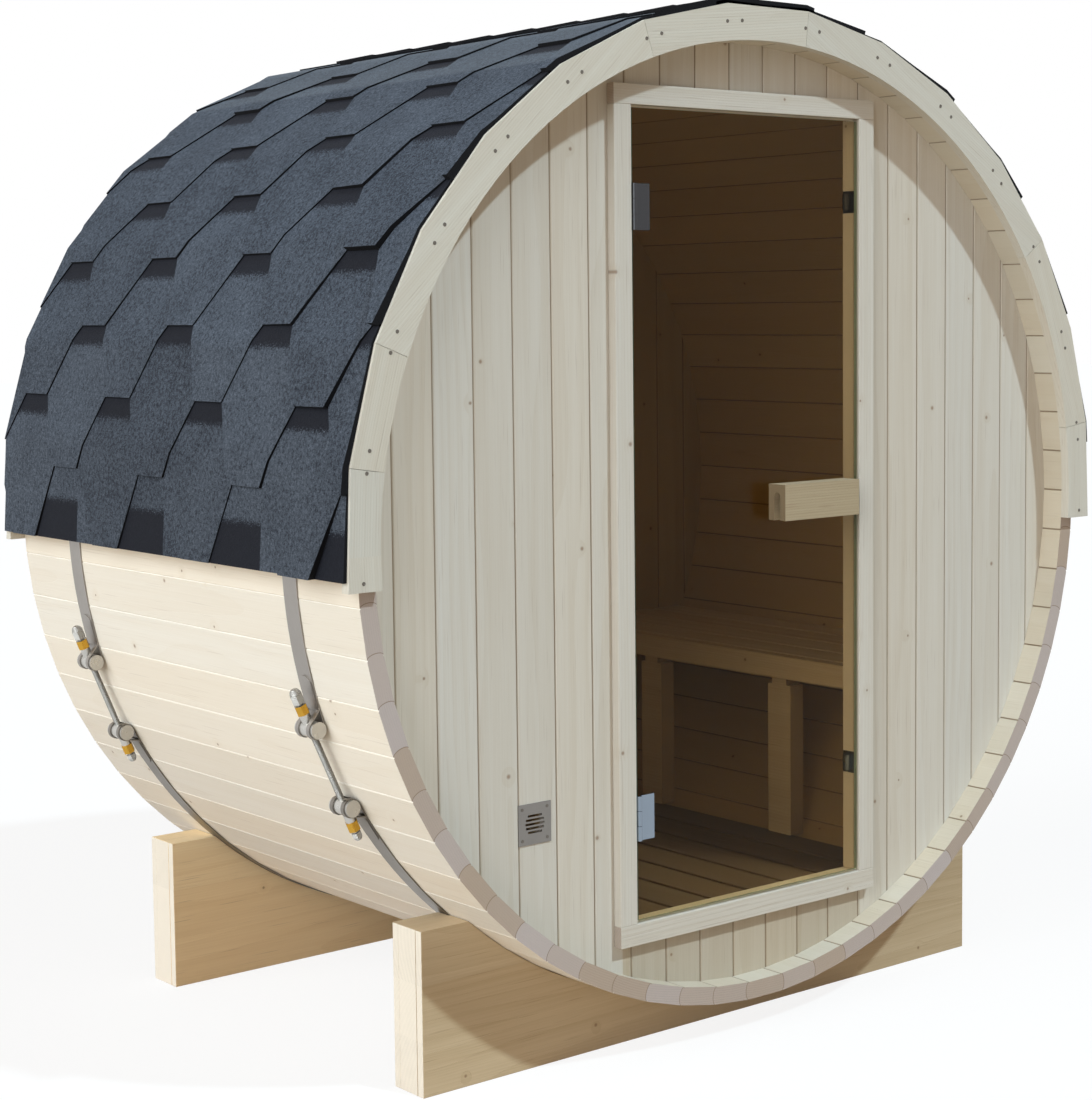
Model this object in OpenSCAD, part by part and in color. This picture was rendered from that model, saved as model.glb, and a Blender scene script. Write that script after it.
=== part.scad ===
// Barrel sauna: a lying barrel of staves held by two steel hoops on two cradles,
// with a glass door in its front wall and a shingled roof round its upper half.
// Front is -Y, up is +Z, and the origin is on the ground at the middle of the barrel.

/* [Barrel] */
// Outside diameter over the staves
barrel_d = 1900; // [1860:10:2100]
// Length of the staves
barrel_l = 1250; // [1150:10:1800]
// Thickness of the staves
stave_t = 36; // [30:1:42]
// Staves in each of the eleven shell segments
staves_per_segment = 6; // [5:1:8]
// Width of the V groove along each stave joint
stave_groove = 4; // [2:0.5:8]
// Gap between the barrel and the ground
ground_gap = 70; // [40:5:150]

/* [End walls] */
// Distance that both end walls are set back from the stave ends
wall_recess = 50; // [30:1:90]
// Thickness of the end walls
wall_t = 28; // [20:1:45]
// Depth that the end walls sit in the groove cut in the staves
croze_depth = 8; // [4:1:14]
// Width of one wall board
board_w = 89.2; // [60:0.2:140]
// Sideways shift of the wall boards
board_shift = -38; // [-44:1:44]
// Width of the V groove between wall boards
board_groove = 6; // [2:0.5:10]

/* [Door] */
// Sideways place of the doorway's middle
door_x = -2; // [-40:1:40]
// Width of the doorway
doorway_w = 608; // [520:2:640]
// Height of the doorway
doorway_h = 1539; // [1400:1:1560]
// Height of the doorway's lower edge over the lowest point of the barrel
doorway_sill = 195; // [180:1:260]
// Thickness of the jamb boards
jamb_t = 22; // [14:1:34]
// Thickness of the casing boards
casing_t = 20; // [14:1:26]
// Width of the side casings
casing_w = 42; // [36:1:80]
// Height of the head casing
casing_head_h = 38; // [30:1:60]
// Height of the sill casing
casing_sill_h = 42; // [30:1:70]
// Thickness of the glass
glass_t = 8; // [6:1:10]
// Depth of the glass behind the casing's face
glass_inset = 4; // [2:0.5:8]
// Gap round the glass
glass_gap = 5; // [5:0.5:8]

/* [Door fittings] */
// Width of a hinge plate
hinge_w = 44; // [30:1:60]
// Height of a hinge plate
hinge_h = 86; // [60:1:110]
// Thickness of a hinge plate
hinge_t = 3.5; // [3:0.5:5]
// Diameter of the hinge pin
hinge_pin_d = 4.5; // [3.5:0.25:5]
// Distance of the upper hinge's middle below the doorway's top
hinge_top_inset = 187; // [120:1:300]
// Distance of the lower hinge's middle above the doorway's bottom
hinge_bottom_inset = 203; // [120:1:300]
// Width of the wooden door handle
handle_w = 208; // [140:1:240]
// Height of the handle
handle_h = 71; // [50:1:90]
// How far the handle stands off the glass
handle_d = 46; // [36:1:60]
// Gap between the handle and the doorway's right edge
handle_inset = 46; // [20:1:90]
// Height of the handle's middle over the barrel axis
handle_z = 27; // [-150:1:200]
// Length of a catch on the jamb
catch_l = 28; // [20:1:30]
// Height of a catch
catch_h = 44; // [30:1:60]
// How far a catch stands out of the jamb
catch_d = 16; // [10:1:24]

/* [Vent] */
// Side of the square vent plate
vent_size = 76; // [60:1:110]
// Thickness of the vent plate
vent_t = 2; // [1.5:0.5:4]
// Diameter of the slotted round field
vent_d = 46; // [34:1:54]
// Number of slots
vent_slots = 5; // [3:2:7]
// Distance of the vent's middle from the side casing
vent_x = 190; // [120:1:240]
// Height of the vent's middle over the lowest point of the barrel
vent_z = 422; // [410:1:650]

/* [Roof] */
// Angle of one flat of the roof's outline
roof_flat_a = 12.5; // [12.5:0.5:15]
// Height of the roof deck's outer corners over the staves
roof_rise = 33; // [30:1:45]
// Thickness of the shingles
shingle_t = 3.5; // [3:0.5:6]
// Distance of the shingles' lower edge below the barrel axis
eaves_drop = 42; // [20:1:50]
// Distance of the gable boards' ends below the barrel axis
gable_drop = 60; // [55:1:90]
// Thickness of the gable boards
gable_t = 20; // [14:1:30]
// Length of the shingles past the stave ends
shingle_over = 14; // [6:1:18]

/* [Hoops] */
// Width of a hoop strap
hoop_w = 44; // [30:1:56]
// Thickness of a hoop strap
hoop_t = 2; // [1.5:0.25:3]
// Distance of the front hoop from the front stave ends
hoop_front = 212; // [190:1:260]
// Distance of the rear hoop from the rear stave ends
hoop_rear = 229; // [190:1:300]
// Angle of the front clamp's upper trunnion below the barrel axis
clamp_front_a = 19.7; // [12:0.1:24]
// Angle of the rear clamp's upper trunnion below the barrel axis
clamp_rear_a = 17.9; // [12:0.1:24]
// Angle from a clamp's upper trunnion to its lower one
trunnion_span_a = 9.8; // [9:0.1:14]
// Diameter of a trunnion
trunnion_d = 31; // [18:0.5:34]
// Length of a trunnion
trunnion_l = 56; // [50:1:80]
// Diameter of the clamp rod
rod_d = 12; // [8:0.5:13]
// Height of a clamp nut
nut_h = 18; // [8:1:22]

/* [Cradles] */
// Width of a cradle from side to side
cradle_w = 1480; // [1300:10:1600]
// Height of the cradles
cradle_h = 310; // [260:5:360]
// Thickness of one cradle board
cradle_board_t = 18; // [14:1:28]
// Thickness of the cradle's core
cradle_core_t = 54; // [40:1:80]
// Distance of both cradles from the stave ends
cradle_inset = 129; // [100:1:180]

/* [Floor and bench] */
// Distance of the floor below the doorway's lower edge
floor_drop = 10; // [10:1:30]
// Thickness of a floor slat
floor_slat_t = 25; // [18:1:32]
// Width of a floor slat
floor_slat_w = 92; // [70:1:120]
// Gap between floor slats
floor_gap = 10; // [6:1:16]
// Height and width of a floor bearer
bearer = 44; // [34:1:54]
// Sideways place of the bench's front edge
bench_x = 416; // [390:1:450]
// Height of the bench over the floor
bench_h = 407; // [360:1:450]
// Thickness of a bench slat
bench_slat_t = 26; // [18:1:32]
// Number of bench slats
bench_slats_n = 4; // [3:1:5]
// Gap between bench slats
bench_gap = 10; // [6:1:16]
// Height of the bench's front rail
bench_rail_h = 50; // [40:1:70]
// Thickness of the bench's front rail
bench_rail_t = 28; // [20:1:34]
// Width of a bench leg
leg_w = 70; // [50:1:90]
// Distance of a bench leg's middle from the end wall
leg_inset = 332; // [200:1:380]

/* [Hidden] */

// Clearance between pieces that seat on each other
seat = 0.3;
barrel_r = barrel_d / 2;
inner_r = barrel_r - stave_t;
axis_z = ground_gap + barrel_r;
front_y = -barrel_l / 2;
rear_y = barrel_l / 2;
segments = 11;
segment_a = 360 / segments;
stave_a = segment_a / staves_per_segment;
// The staves' flats lie a little inside the circle through their corners
inner_corner_r = inner_r / cos(stave_a / 2);

wall_r = inner_r + croze_depth;
wall_front_y = front_y + wall_recess;
wall_back_y = rear_y - wall_recess;
room_front_y = wall_front_y + wall_t;
room_back_y = wall_back_y - wall_t;

door_left = door_x - doorway_w / 2;
door_right = door_x + doorway_w / 2;
door_bottom = doorway_sill - barrel_r;
door_top = door_bottom + doorway_h;
casing_y = wall_front_y - casing_t;
glass_y = casing_y + glass_inset;
vent_middle_x = door_left - casing_w - vent_x;
vent_middle_z = vent_z - barrel_r;

hinge_knuckle_r = 5;
// Gap between the hinge knuckles and the front of the glass
hinge_glass_gap = 0.5;
hinge_leaf_t = 2;
hinge_axis_x = door_left + hinge_knuckle_r;
hinge_axis_y = glass_y - hinge_knuckle_r - hinge_glass_gap;

floor_z = door_bottom - floor_drop;
bearer_z = floor_z - floor_slat_t - bearer;
bench_z = floor_z + bench_h;
roof_corner_r = barrel_r + roof_rise;
first_corner_a = 90 - 6.5 * roof_flat_a;
hoop_inner_r = barrel_r + 0.2;
hoop_outer_r = hoop_inner_r + hoop_t;
cradle_t = cradle_core_t + 2 * cradle_board_t;

pine = "#d9c8ae";
pale_pine = "#e6d9c4";
end_pine = "#cbb596";
steel = "#a9adb0";
bright_steel = "#c9ccce";
slate = "#4a4f58";

// Point on a circle round the barrel axis, at angle a from +X towards +Z
function ring(r, a) = [r * cos(a), r * sin(a)];

// Point on the chord between two ring points, at distance d from the first
function on_chord(p, q, d) = p + (q - p) * d / norm(q - p);

// Puts a shape drawn in the X-Z plane of the barrel axis between two Y values
module along(y0, y1) {
  translate([0, y0, axis_z])
    rotate([90, 0, 0])
      mirror([0, 0, 1])
        linear_extrude(y1 - y0)
          children();
}

// A round bar along Y
module bar_y(r, y0, y1, x = 0, z = 0, sides = 360) {
  translate([x, y0, axis_z + z])
    rotate([-90, 0, 0])
      cylinder(r = r, h = y1 - y0, $fn = sides);
}

// A box given by its low and high corners, heights counted from the barrel axis
module block(low, high) {
  translate([low[0], low[1], axis_z + low[2]])
    cube(high - low);
}

// Shell of staves

module stave_outline(start_a) {
  half = stave_groove / 2;
  outer = [for (i = [0 : staves_per_segment - 1])
    let (p = ring(barrel_r, start_a + i * stave_a), q = ring(barrel_r, start_a + (i + 1) * stave_a))
      each [ring(barrel_r - half, start_a + i * stave_a), on_chord(p, q, half), on_chord(q, p, half)]];
  inner = [for (i = [staves_per_segment - 1 : -1 : 0])
    let (p = ring(inner_corner_r, start_a + i * stave_a),
         q = ring(inner_corner_r, start_a + (i + 1) * stave_a),
         groove = ring(inner_corner_r + half, start_a + (i + 1) * stave_a))
      each [groove, on_chord(q, p, half), on_chord(p, q, half)]];
  last = [ring(barrel_r - half, start_a + segment_a)];
  close = [ring(inner_corner_r + half, start_a)];
  polygon(concat(outer, last, inner, close));
}

module staves(index) {
  color(pine)
    difference() {
      along(front_y, rear_y) stave_outline(index * segment_a);
      bar_y(wall_r + seat, wall_front_y - seat, room_front_y + seat);
      bar_y(wall_r + seat, room_back_y - seat, wall_back_y + seat);
    }
}

// End walls of upright boards

module board_grooves(y, r) {
  count = floor(r / board_w) + 1;
  for (i = [-count : count])
    let (x = board_shift + i * board_w)
      if (abs(x) < r - board_groove)
        translate([x, y, axis_z])
          rotate([0, 0, 45])
            cube([board_groove / sqrt(2), board_groove / sqrt(2), 2 * r + 2], center = true);
}

module end_wall(y) {
  difference() {
    bar_y(wall_r, y, y + wall_t);
    board_grooves(y, wall_r);
    board_grooves(y + wall_t, wall_r);
  }
}

module wall_part(y, x0, x1, z0, z1) {
  color(pale_pine)
    intersection() {
      end_wall(y);
      block([x0, y - 1, z0], [x1, y + wall_t + 1, z1]);
    }
}

module front_wall_left() {
  vent_bore_r = vent_d / 2 + 1;
  difference() {
    wall_part(wall_front_y, -wall_r - 1, door_left - jamb_t, -wall_r - 1, wall_r + 1);
    color(pale_pine)
      bar_y(vent_bore_r, wall_front_y - 1, room_front_y + 1, vent_middle_x, vent_middle_z);
  }
}

module front_wall_right() {
  wall_part(wall_front_y, door_right + jamb_t, wall_r + 1, -wall_r - 1, wall_r + 1);
}

module front_wall_over_door() {
  wall_part(wall_front_y, door_left - jamb_t, door_right + jamb_t, door_top + jamb_t, wall_r + 1);
}

module front_wall_under_door() {
  wall_part(wall_front_y, door_left - jamb_t, door_right + jamb_t, -wall_r - 1, door_bottom - jamb_t);
}

module rear_wall() {
  color(pale_pine) end_wall(room_back_y);
}

// Door frame

module casing_left() {
  color(pale_pine)
    block([door_left - casing_w, casing_y, door_bottom], [door_left, wall_front_y, door_top]);
}

module casing_right() {
  color(pale_pine)
    block([door_right, casing_y, door_bottom], [door_right + casing_w, wall_front_y, door_top]);
}

module casing_head() {
  color(pale_pine)
    block([door_left - casing_w, casing_y, door_top],
          [door_right + casing_w, wall_front_y, door_top + casing_head_h]);
}

module casing_sill() {
  color(pale_pine)
    block([door_left - casing_w, casing_y, door_bottom - casing_sill_h],
          [door_right + casing_w, wall_front_y, door_bottom]);
}

module jamb_left() {
  color(pine)
    block([door_left - jamb_t, wall_front_y, door_bottom], [door_left, room_front_y, door_top]);
}

module jamb_right() {
  color(pine)
    block([door_right, wall_front_y, door_bottom], [door_right + jamb_t, room_front_y, door_top]);
}

module jamb_head() {
  color(pine)
    block([door_left - jamb_t, wall_front_y, door_top],
          [door_right + jamb_t, room_front_y, door_top + jamb_t]);
}

module threshold() {
  color(pine)
    block([door_left - jamb_t, wall_front_y, door_bottom - jamb_t],
          [door_right + jamb_t, room_front_y, door_bottom]);
}

// Vent in the left half of the front wall

module vent_plate() {
  slot_pitch = vent_d / (vent_slots + 1);
  slot_h = slot_pitch * 0.55;
  x = vent_middle_x;
  z = vent_middle_z;
  color(steel)
    difference() {
      block([x - vent_size / 2, wall_front_y - vent_t, z - vent_size / 2],
            [x + vent_size / 2, wall_front_y, z + vent_size / 2]);
      for (i = [1 : vent_slots])
        let (up = i * slot_pitch - vent_d / 2, half = sqrt(pow(vent_d / 2, 2) - up * up) - 1)
          block([x - half, wall_front_y - vent_t - 1, z + up - slot_h / 2],
                [x + half, wall_front_y + 1, z + up + slot_h / 2]);
    }
}

// Roof: flats that turn by roof_flat_a from one side of the barrel over the top to the other

function roof_corner(r, i) = ring(r, first_corner_a + i * roof_flat_a);

// Outline of the roof's flats between two corners, closed at the barrel axis
module roof_sector(r, i0, i1) {
  polygon(concat([[0, 0]], [for (i = [i0 : i1]) roof_corner(r, i)]));
}

module above(drop) {
  intersection() {
    children();
    translate([-2 * barrel_r, -drop]) square([4 * barrel_r, 3 * barrel_r]);
  }
}

// Gable boards meet on the roof's corners: numbers of the corners where they meet
gable_joints = [0, 2, 6, 8, 12, 13];

module gable_boards(y0, y1) {
  joint_gap = 0.4;
  color(pale_pine)
    along(y0, y1)
      difference() {
        above(gable_drop) roof_sector(roof_corner_r, -1, 14);
        circle(r = inner_r, $fn = 360);
        for (k = gable_joints)
          rotate(first_corner_a + k * roof_flat_a)
            translate([0, -joint_gap]) square([2 * barrel_r, 2 * joint_gap]);
      }
}

module gable_boards_front() {
  gable_boards(front_y - gable_t, front_y);
}

module gable_boards_rear() {
  gable_boards(rear_y, rear_y + gable_t);
}

module hoop_channel(y) {
  bar_y(hoop_outer_r + seat, y - hoop_w / 2 - 2, y + hoop_w / 2 + 2);
}

module roof_deck() {
  plank_gap = 1;
  // Height by which the shingles hang past the lowest plank
  shingle_lip = 8;
  color(end_pine)
    difference() {
      along(front_y, rear_y)
        difference() {
          above(eaves_drop - shingle_lip) roof_sector(roof_corner_r, -1, 14);
          for (k = [0 : 13])
            rotate(first_corner_a + k * roof_flat_a)
              translate([0, -plank_gap / 2]) square([2 * barrel_r, plank_gap]);
        }
      bar_y(barrel_r + seat, front_y - 1, rear_y + 1);
      hoop_channel(front_y + hoop_front);
      hoop_channel(rear_y - hoop_rear);
    }
}

module shingle_skin(side) {
  ridge_gap = 0.5;
  color(slate)
    along(front_y - shingle_over, rear_y + shingle_over)
      intersection() {
        difference() {
          above(eaves_drop) roof_sector(roof_corner_r + shingle_t, -1, 14);
          roof_sector(roof_corner_r + 0.1, -2, 15);
        }
        translate([side > 0 ? ridge_gap : -2 * barrel_r, -barrel_r])
          square([2 * barrel_r - ridge_gap, 3 * barrel_r]);
      }
}

module shingles_left() {
  shingle_skin(-1);
}

module shingles_right() {
  shingle_skin(1);
}

// Hoops and their clamps

trunnion_loop_r = trunnion_d / 2 + seat;
trunnion_centre_r = hoop_outer_r + trunnion_loop_r;
nut_d = 2 * rod_d;
// Angle by which a strap leaves the barrel before it reaches its trunnion
strap_lift_a = 3.2;
// Length of a strap's straight end, from the barrel to the trunnion's middle
strap_reach = trunnion_centre_r * sin(strap_lift_a);

// Angles at which a strap's ends leave the barrel, for the angle of its clamp
function strap_upper_a(clamp_a) = 180 + clamp_a - strap_lift_a;
function strap_lower_a(clamp_a) = 180 + clamp_a + trunnion_span_a + strap_lift_a;

// A strap's end is folded round its trunnion and back onto the strap.
// Its points are [distance out from the strap's inner face, distance past the trunnion's middle].
fold_steps = 24;
fold_l = 2 * trunnion_loop_r;
fold_slope = 2 * atan2(fold_l, trunnion_loop_r) - 90;
fold_foot_l = 5;

function fold_arc(r) = [for (i = [0 : fold_steps])
  [hoop_t + trunnion_loop_r, 0] + ring(r, 180 + (fold_slope - 270) * i / fold_steps)];

function fold_foot() =
  let (last = fold_arc(trunnion_loop_r + hoop_t)[fold_steps])
    last[1] - (last[0] - 2 * hoop_t) * tan(fold_slope);

function fold_outside() =
  let (foot = fold_foot())
    concat(fold_arc(trunnion_loop_r + hoop_t),
           [[2 * hoop_t, foot], [2 * hoop_t, foot - fold_foot_l], [hoop_t, foot - fold_foot_l]]);

function fold_hole() = concat(fold_arc(trunnion_loop_r), [[hoop_t, -fold_l]]);

// Fold points brought to the strap's end at angle a; way is 1 going down and -1 going up
function on_strap(points, a, way) = [for (p = points)
  ring(hoop_inner_r + p[0], a) + way * (p[1] + strap_reach) * ring(1, a + 90)];

module strap_outline(clamp_a) {
  steps = 180;
  upper_a = strap_upper_a(clamp_a);
  lower_a = strap_lower_a(clamp_a);
  turn = [for (i = [0 : steps]) lower_a + (360 - lower_a + upper_a) * i / steps];
  lower_end = on_strap(fold_outside(), lower_a, -1);
  difference() {
    polygon(concat([for (a = turn) ring(hoop_inner_r, a)],
                   on_strap(fold_outside(), upper_a, 1),
                   [for (i = [steps : -1 : 0]) ring(hoop_outer_r, turn[i])],
                   [for (i = [len(lower_end) - 1 : -1 : 0]) lower_end[i]]));
    polygon(on_strap(fold_hole(), upper_a, 1));
    polygon(on_strap(fold_hole(), lower_a, -1));
  }
}

// Narrow tongue past a fold, laid back on the strap, with a rounded tip
module tongue(y, a, way) {
  tongue_w = 0.82 * hoop_w;
  // Angle that the tongue reaches along the barrel, and how deep it sinks into the strap
  tongue_a = 2.6;
  sunk = 0.4;
  steps = 6;
  tip_r = 0.56 * tongue_w;
  outer = hoop_t - 0.1;
  start = fold_foot() - fold_foot_l / 2;
  tip = hoop_outer_r * sin(tongue_a);
  straight = on_strap([[hoop_t - sunk, start], [hoop_t + outer, start]], a, way);
  intersection() {
    along(y - tongue_w / 2, y + tongue_w / 2)
      polygon(concat(straight,
                     [for (i = [0 : steps]) ring(hoop_outer_r + outer, a - way * tongue_a * i / steps)],
                     [for (i = [steps : -1 : 0]) ring(hoop_outer_r - sunk, a - way * tongue_a * i / steps)]));
    translate([hoop_outer_r * cos(a), y, axis_z + hoop_outer_r * sin(a)])
      rotate([0, -a, 0])
        translate([-6, 0, way * (tip_r - tip + 1)]) {
          rotate([0, 90, 0]) cylinder(r = tip_r, h = 12, $fn = 64);
          translate([0, -tongue_w, way > 0 ? 0 : -3 * strap_reach])
            cube([12, 2 * tongue_w, 3 * strap_reach]);
        }
  }
}

// Slot through a fold for the rod and its nut
module fold_slot(y, a, way) {
  slot_w = nut_d + 2;
  slot_l = 4 * trunnion_d;
  translate([0, y, axis_z])
    rotate([0, -a, 0])
      translate([hoop_outer_r + hoop_t + seat, -slot_w / 2, way * strap_reach - slot_l / 2])
        cube([2 * trunnion_d, slot_w, slot_l]);
}

module strap(y, clamp_a) {
  color(steel) {
    difference() {
      along(y - hoop_w / 2, y + hoop_w / 2) strap_outline(clamp_a);
      fold_slot(y, strap_upper_a(clamp_a), 1);
      fold_slot(y, strap_lower_a(clamp_a), -1);
    }
    tongue(y, strap_upper_a(clamp_a), 1);
    tongue(y, strap_lower_a(clamp_a), -1);
  }
}

module hoop_front() {
  strap(front_y + hoop_front, clamp_front_a);
}

module hoop_rear() {
  strap(rear_y - hoop_rear, clamp_rear_a);
}

module clamp(y, clamp_a) {
  trunnion_middle = [[hoop_t + trunnion_loop_r, 0]];
  top = on_strap(trunnion_middle, strap_upper_a(clamp_a), 1)[0];
  bottom = on_strap(trunnion_middle, strap_lower_a(clamp_a), -1)[0];
  span = norm(bottom - top);
  tilt = atan2(bottom[0] - top[0], top[1] - bottom[1]);
  color(bright_steel) {
    bar_y(trunnion_d / 2, y - trunnion_l / 2, y + trunnion_l / 2, top[0], top[1], 48);
    bar_y(trunnion_d / 2, y - trunnion_l / 2, y + trunnion_l / 2, bottom[0], bottom[1], 48);
    translate([top[0], y, axis_z + top[1]])
      rotate([0, -tilt, 0])
        rod(span);
  }
}

// Rod that hangs down from the upper trunnion's middle through the lower one
module rod(span) {
  translate([0, 0, -span]) cylinder(d = rod_d, h = span, $fn = 32);
  rod_end(2 * rod_d, 18);
  translate([0, 0, -span]) rotate([180, 0, 0]) rod_end(1.6 * rod_d, 10);
}

// End of the rod past a trunnion: a sleeve, a hex nut, a neck and a domed hex cap
module rod_end(cap_d, cap_l) {
  sleeve_d = 1.6 * rod_d;
  sleeve_top = trunnion_d / 2 + 17;
  nut_top = sleeve_top + nut_h;
  neck_l = 4;
  dome_r = 0.42 * cap_d;
  cylinder(d = sleeve_d, h = sleeve_top, $fn = 32);
  translate([0, 0, sleeve_top - 1]) cylinder(d = nut_d, h = nut_h + 1, $fn = 6);
  cylinder(d = rod_d, h = nut_top + neck_l + 1, $fn = 32);
  translate([0, 0, nut_top + neck_l]) cylinder(d = cap_d, h = cap_l, $fn = 6);
  translate([0, 0, nut_top + neck_l + cap_l]) sphere(r = dome_r, $fn = 32);
}

module clamp_front() {
  clamp(front_y + hoop_front, clamp_front_a);
}

module clamp_rear() {
  clamp(rear_y - hoop_rear, clamp_rear_a);
}

// Cradles: a core between two boards, with a thin glue line on each side

module cradle_layer(y0, y1, hoop_y) {
  difference() {
    block([-cradle_w / 2, y0, -axis_z], [cradle_w / 2, y1, cradle_h - axis_z]);
    bar_y(barrel_r + seat, y0 - 1, y1 + 1);
    hoop_channel(hoop_y);
  }
}

module cradle(y, hoop_y) {
  glue_line = 0.2;
  color(pine) {
    cradle_layer(y, y + cradle_board_t, hoop_y);
    cradle_layer(y + cradle_t - cradle_board_t, y + cradle_t, hoop_y);
  }
  color(end_pine)
    cradle_layer(y + cradle_board_t + glue_line, y + cradle_t - cradle_board_t - glue_line, hoop_y);
}

module cradle_front() {
  cradle(front_y + cradle_inset, front_y + hoop_front);
}

module cradle_rear() {
  cradle(rear_y - cradle_inset - cradle_t, rear_y - hoop_rear);
}

// Floor

// Half the width of the room at a height over the barrel axis
function half_room(z) = sqrt(inner_r * inner_r - z * z);

// Gap between the inside woodwork and the shell
end_gap = 4;
floor_pitch = floor_slat_w + floor_gap;
floor_half = half_room(floor_z - floor_slat_t) - end_gap;
floor_count = floor((2 * floor_half + floor_gap) / floor_pitch);

module floor_slats() {
  start = -(floor_count * floor_pitch - floor_gap) / 2;
  color(pine)
    for (i = [0 : floor_count - 1])
      block([start + i * floor_pitch, room_front_y + end_gap, floor_z - floor_slat_t],
            [start + i * floor_pitch + floor_slat_w, room_back_y - end_gap, floor_z]);
}

module floor_bearers() {
  room_l = room_back_y - room_front_y;
  color(pine)
    intersection() {
      for (k = [0.12, 0.5, 0.88])
        let (y = room_front_y + k * room_l)
          block([-inner_r, y - bearer / 2, bearer_z],
                [inner_r, y + bearer / 2, floor_z - floor_slat_t]);
      bar_y(inner_r - seat, room_front_y, room_back_y);
    }
}

// Bench along the right side

bench_under = bench_z - bench_slat_t;
bench_deep = half_room(bench_under) - end_gap - bench_x - bench_rail_t;
bench_slat_w = (bench_deep - bench_gap * bench_slats_n) / bench_slats_n;
leg_y = [room_front_y + leg_inset, room_back_y - leg_inset];
leg_t = 40;
leg_x = bench_x + bench_rail_t;

module bench_seat() {
  color(pine)
    for (i = [0 : bench_slats_n - 1])
      let (x = leg_x + bench_gap + i * (bench_slat_w + bench_gap))
        block([x, room_front_y + end_gap, bench_under],
              [x + bench_slat_w, room_back_y - end_gap, bench_z]);
}

module bench_frame() {
  color(pine) {
    block([bench_x, room_front_y + end_gap, bench_z - bench_rail_h],
          [leg_x, room_back_y - end_gap, bench_z]);
    for (y = leg_y)
      block([leg_x, y - leg_w / 2, floor_z], [leg_x + leg_t, y + leg_w / 2, bench_under - bearer]);
    intersection() {
      for (y = leg_y)
        block([leg_x, y - bearer / 2, bench_under - bearer], [inner_r, y + bearer / 2, bench_under]);
      bar_y(inner_r - seat, room_front_y, room_back_y);
    }
  }
}

// Glass door with its fittings

module door_glass() {
  color("#5a4028", 0.6)
    block([door_left + glass_gap, glass_y, door_bottom + glass_gap],
          [door_right - glass_gap, glass_y + glass_t, door_top - glass_gap]);
}

// Handle with a round-topped finger recess, open below and at its left end
module door_handle() {
  handle_wall = 14;
  handle_end = 24;
  handle_roof = 16;
  x1 = door_right - handle_inset;
  x0 = x1 - handle_w;
  z0 = handle_z - handle_h / 2;
  recess_r = (handle_d - 2 * handle_wall) / 2;
  recess_top = z0 + handle_h - handle_roof - recess_r;
  color("#cdb88f")
    difference() {
      block([x0, glass_y - handle_d, z0], [x1, glass_y, z0 + handle_h]);
      block([x0 - 1, glass_y - handle_d + handle_wall, z0 - 1],
            [x1 - handle_end, glass_y - handle_wall, recess_top]);
      translate([x0 - 1, glass_y - handle_d / 2, axis_z + recess_top])
        rotate([0, 90, 0])
          cylinder(r = recess_r, h = handle_w - handle_end + 1, $fn = 48);
    }
}

hinge_part_h = (hinge_h - 2) / 3;
// Distance of the leaf's inner edge from the room
hinge_leaf_back = 6;

module hinge_leaf(z) {
  part = hinge_part_h;
  color(bright_steel) {
    difference() {
      union() {
        block([door_left, hinge_axis_y, z - hinge_h / 2],
              [door_left + hinge_leaf_t, room_front_y - hinge_leaf_back, z + hinge_h / 2]);
        hinge_knuckle(z - hinge_h / 2, part, hinge_knuckle_r);
        hinge_knuckle(z + hinge_h / 2 - part, part, hinge_knuckle_r);
      }
      hinge_knuckle(z - part / 2 - 1, part + 2, hinge_knuckle_r + 0.6);
    }
    hinge_knuckle(z - hinge_h / 2, hinge_h, hinge_pin_d / 2);
  }
}

module hinge_knuckle(z, h, r) {
  translate([hinge_axis_x, hinge_axis_y, axis_z + z])
    cylinder(r = r, h = h, $fn = 48);
}

module hinge_plate(z) {
  part = hinge_part_h;
  color(bright_steel)
    difference() {
      union() {
        block([hinge_axis_x + hinge_knuckle_r + 1, glass_y - hinge_t, z - hinge_h / 2],
              [door_left + hinge_w, glass_y, z + hinge_h / 2]);
        block([hinge_axis_x, glass_y - hinge_t, z - part / 2],
              [hinge_axis_x + hinge_knuckle_r + 2, glass_y, z + part / 2]);
        hinge_knuckle(z - part / 2, part, hinge_knuckle_r);
      }
      hinge_knuckle(z - hinge_h, 2 * hinge_h, hinge_pin_d / 2 + 0.08);
    }
}

hinge_upper_z = door_top - hinge_top_inset;
hinge_lower_z = door_bottom + hinge_bottom_inset;
catch_lift = 22;

module hinge_leaves() {
  hinge_leaf(hinge_upper_z);
  hinge_leaf(hinge_lower_z);
}

module hinge_plates() {
  hinge_plate(hinge_upper_z);
  hinge_plate(hinge_lower_z);
}

// Roller catches on the right jamb, behind the glass

module door_catch(z) {
  y0 = glass_y + glass_t + 5;
  color(bright_steel) {
    block([door_right - 3, y0, z - catch_h / 2], [door_right, y0 + catch_l, z + catch_h / 2]);
    translate([door_right - catch_d / 2, y0 + catch_l / 2, axis_z + z - catch_h * 0.35])
      cylinder(r = catch_d / 2, h = catch_h * 0.7, $fn = 32);
  }
}

module door_catches() {
  door_catch(hinge_upper_z + catch_lift);
  door_catch(hinge_lower_z + catch_lift);
}

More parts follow.
